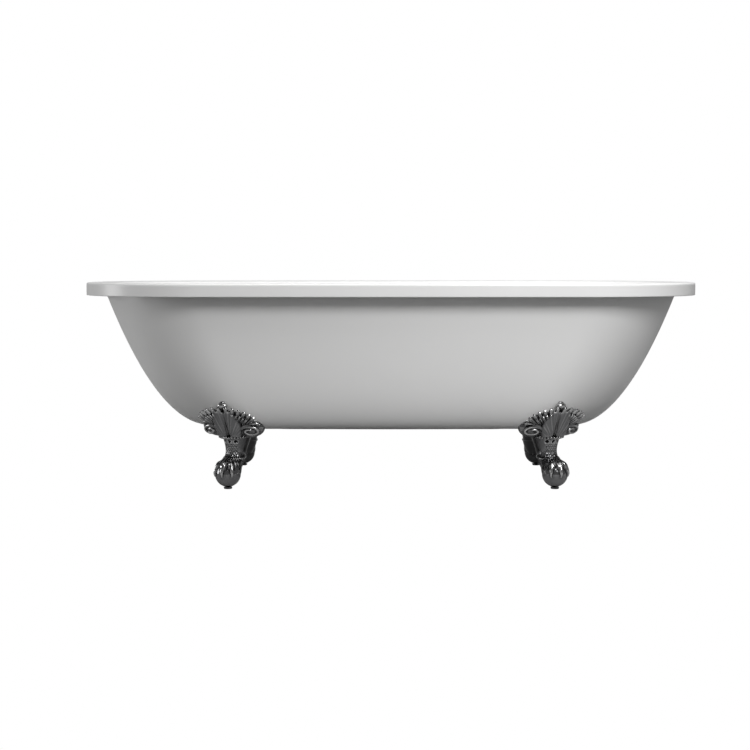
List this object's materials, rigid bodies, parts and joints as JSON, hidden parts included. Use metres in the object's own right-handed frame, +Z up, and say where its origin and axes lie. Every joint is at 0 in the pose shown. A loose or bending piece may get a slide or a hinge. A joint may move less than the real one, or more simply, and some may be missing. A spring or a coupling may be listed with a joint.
{
  "type": "clawfoot bathtub",
  "caption": "Double-ended freestanding bath with a flat-edged rim and smooth sloping ends, standing on cast ball-and-claw feet, with push plug waste and overflow.",
  "frame": {"origin": "on the floor, under the middle of the bath", "axes": "+X along the length to the right as seen from the front, -Y the front, +Z up"},
  "size_m": [1.7, 0.75, 0.55],
  "materials": {
    "bath_acrylic": "white sanitary acrylic, polished",
    "foot_chrome": "dark polished plating with darker recesses",
    "board_timber": "birch plywood, sealed with resin",
    "zinc_steel": "zinc-plated steel",
    "glide_steel": "blackened steel",
    "glide_nylon": "black nylon",
    "bright_chrome": "bright chrome plating",
    "brass": "turned brass",
    "black_rubber": "moulded rubber",
    "white_plastic": "moulded white plastic"
  },
  "bodies": {
    "bath": {"inner_shell": "bath_acrylic", "outer_skin": "bath_acrylic", "rim_core": "board_timber", "base_board": "board_timber", "foot_screws": "zinc_steel", "waste_body": "bright_chrome", "waste_nut": "white_plastic", "waste_seal": "black_rubber", "overflow_cover": "bright_chrome", "overflow_collar": "bright_chrome", "overflow_pipe": "white_plastic", "foot_front_left": "foot_chrome", "foot_block_front_left": "board_timber", "foot_front_right": "foot_chrome", "foot_block_front_right": "board_timber", "foot_back_left": "foot_chrome", "foot_block_back_left": "board_timber", "foot_back_right": "foot_chrome", "foot_block_back_right": "board_timber"},
    "plug": {"plug_cap": "bright_chrome", "plug_seal": "black_rubber", "plug_stem": "brass"},
    "levelling_front_left": {"glide_front_left": "glide_steel", "glide_pad_front_left": "glide_nylon"},
    "levelling_front_right": {"glide_front_right": "glide_steel", "glide_pad_front_right": "glide_nylon"},
    "levelling_back_left": {"glide_back_left": "glide_steel", "glide_pad_back_left": "glide_nylon"},
    "levelling_back_right": {"glide_back_right": "glide_steel", "glide_pad_back_right": "glide_nylon"}
  },
  "joints": [
    {"name": "plug_lift", "type": "slide", "parent": "bath", "child": "plug", "axis": [0, 0, 1], "range_m": [0, 0.009]},
    {"name": "glide_screw_front_left", "type": "slide", "parent": "bath", "child": "levelling_front_left", "axis": [0, 0, -1], "range_m": [0, 0.012]},
    {"name": "glide_screw_front_right", "type": "slide", "parent": "bath", "child": "levelling_front_right", "axis": [0, 0, -1], "range_m": [0, 0.012]},
    {"name": "glide_screw_back_left", "type": "slide", "parent": "bath", "child": "levelling_back_left", "axis": [0, 0, -1], "range_m": [0, 0.012]},
    {"name": "glide_screw_back_right", "type": "slide", "parent": "bath", "child": "levelling_back_right", "axis": [0, 0, -1], "range_m": [0, 0.012]}
  ]
}
